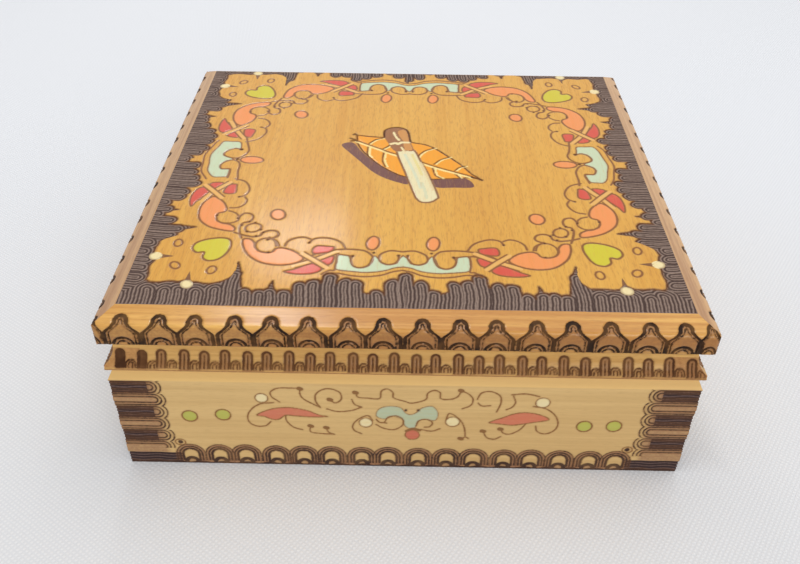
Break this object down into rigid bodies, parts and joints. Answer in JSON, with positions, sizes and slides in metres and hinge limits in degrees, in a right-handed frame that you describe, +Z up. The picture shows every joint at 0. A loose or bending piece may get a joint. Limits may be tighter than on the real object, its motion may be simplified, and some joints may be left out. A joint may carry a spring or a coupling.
{
  "type": "hinged wooden cigarette box",
  "caption": "Low wooden box with finger-jointed corners, a cove-moulded frame under a thick bevelled lid on brass hinges, and divided bays for cigarettes.",
  "frame": {"origin": "middle of the underside, where the box stands on a table", "axes": "+X to the right of the front face, +Y from the front towards the hinges at the back, +Z up"},
  "size_m": [0.166, 0.156, 0.0585],
  "materials": {
    "blond_wood": "pale varnished hardwood with burned ornament",
    "honey_wood": "honey coloured varnished hardwood with burned ornament",
    "varnished_top": "glossy honey varnish over burned and painted ornament",
    "bare_wood": "plain sanded hardwood",
    "brass": "stamped brass",
    "steel": "plain nail steel"
  },
  "bodies": {
    "box": {"front_wall": "blond_wood", "back_wall": "blond_wood", "left_wall": "blond_wood", "right_wall": "blond_wood", "bottom_board": "bare_wood", "bottom_nails": "steel", "compartment_divider": "bare_wood", "left_hinge_body_leaf": "brass", "right_hinge_body_leaf": "brass", "left_hinge_pin": "brass", "right_hinge_pin": "brass", "hinge_body_screws": "brass"},
    "lid": {"lid_front_rail": "honey_wood", "lid_back_rail": "honey_wood", "lid_left_rail": "honey_wood", "lid_right_rail": "honey_wood", "lid_top_plate": "varnished_top", "left_hinge_lid_leaf": "brass", "right_hinge_lid_leaf": "brass", "hinge_lid_screws": "brass"}
  },
  "joints": [
    {"name": "lid_hinge", "type": "hinge", "parent": "box", "child": "lid", "pos_m": [0, 0.07635, 0.039], "axis": [-1, 0, 0], "range_deg": [0, 100]}
  ]
}
